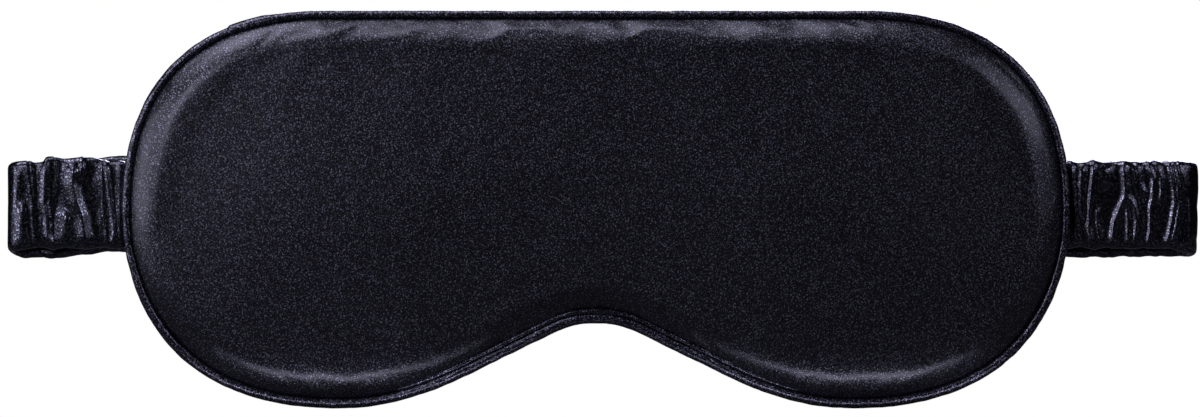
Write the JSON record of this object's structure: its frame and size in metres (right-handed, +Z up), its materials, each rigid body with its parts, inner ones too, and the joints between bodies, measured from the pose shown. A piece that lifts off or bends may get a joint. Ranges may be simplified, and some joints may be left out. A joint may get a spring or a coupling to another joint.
{
  "type": "sleep eye mask",
  "caption": "Padded satin sleep mask with a nose notch, a piped edge and a gathered elastic headband that opens behind it.",
  "frame": {"origin": "middle of the mask's eye-side face, on the headband's centre line, where it lies on the wearer's face", "axes": "+X across the mask to the right as seen from the front, +Y back towards the wearer's head, +Z up"},
  "size_m": [0.2756, 0.014, 0.0923],
  "materials": {
    "panel_satin": "soft satin sheen",
    "piping_satin": "satin sheen",
    "headband_satin": "gathered satin",
    "blackout_cloth": "dense matte weave",
    "wadding": "lofty matte fibre",
    "filler_cord": "matte twisted cotton",
    "elastic": "woven elastic",
    "sewing_thread": "polyester thread"
  },
  "bodies": {
    "mask": {"front_panel": "panel_satin", "back_panel": "panel_satin", "blackout_interlining": "blackout_cloth", "wadding": "wadding", "piping_sleeve": "piping_satin", "piping_cord": "filler_cord", "edge_seam_thread": "sewing_thread", "sleeve_end_left": "headband_satin", "elastic_end_left": "elastic", "band_tack_left": "sewing_thread", "sleeve_end_right": "headband_satin", "elastic_end_right": "elastic", "band_tack_right": "sewing_thread"},
    "run_left": {"sleeve_run_left": "headband_satin", "elastic_run_left": "elastic", "sleeve_fold_left": "headband_satin", "elastic_fold_left": "elastic"},
    "back_left": {"sleeve_back_left": "headband_satin", "elastic_back_left": "elastic"},
    "back_right": {"sleeve_back_right": "headband_satin", "elastic_back_right": "elastic"},
    "run_right": {"sleeve_run_right": "headband_satin", "elastic_run_right": "elastic", "sleeve_fold_right": "headband_satin", "elastic_fold_right": "elastic"}
  },
  "joints": [
    {"name": "band_opens", "type": "hinge", "parent": "mask", "child": "run_left", "pos_m": [-0.1093, -0.00265, 0], "axis": [0, 0, -1], "range_deg": [0, 90]},
    {"name": "fold_left_opens", "type": "hinge", "parent": "run_left", "child": "back_left", "pos_m": [-0.13298, -0.00042, 0], "axis": [0, 0, 1], "range_deg": [0, 128], "deforming": ["sleeve_fold_left", "elastic_fold_left"]},
    {"name": "back_bends", "type": "hinge", "parent": "back_left", "child": "back_right", "pos_m": [0, 0.0006, 0], "axis": [0, 0, -1], "range_deg": [0, 73.6]},
    {"name": "fold_right_opens", "type": "hinge", "parent": "back_right", "child": "run_right", "pos_m": [0.13578, -0.00042, 0], "axis": [0, 0, 1], "range_deg": [0, 125.6], "deforming": ["sleeve_fold_right", "elastic_fold_right"]}
  ],
  "couplings": [
    {"joint": "fold_left_opens", "follows": "band_opens", "ratio": 1.4216},
    {"joint": "back_bends", "follows": "band_opens", "ratio": 0.8166},
    {"joint": "fold_right_opens", "follows": "band_opens", "ratio": 1.395}
  ]
}
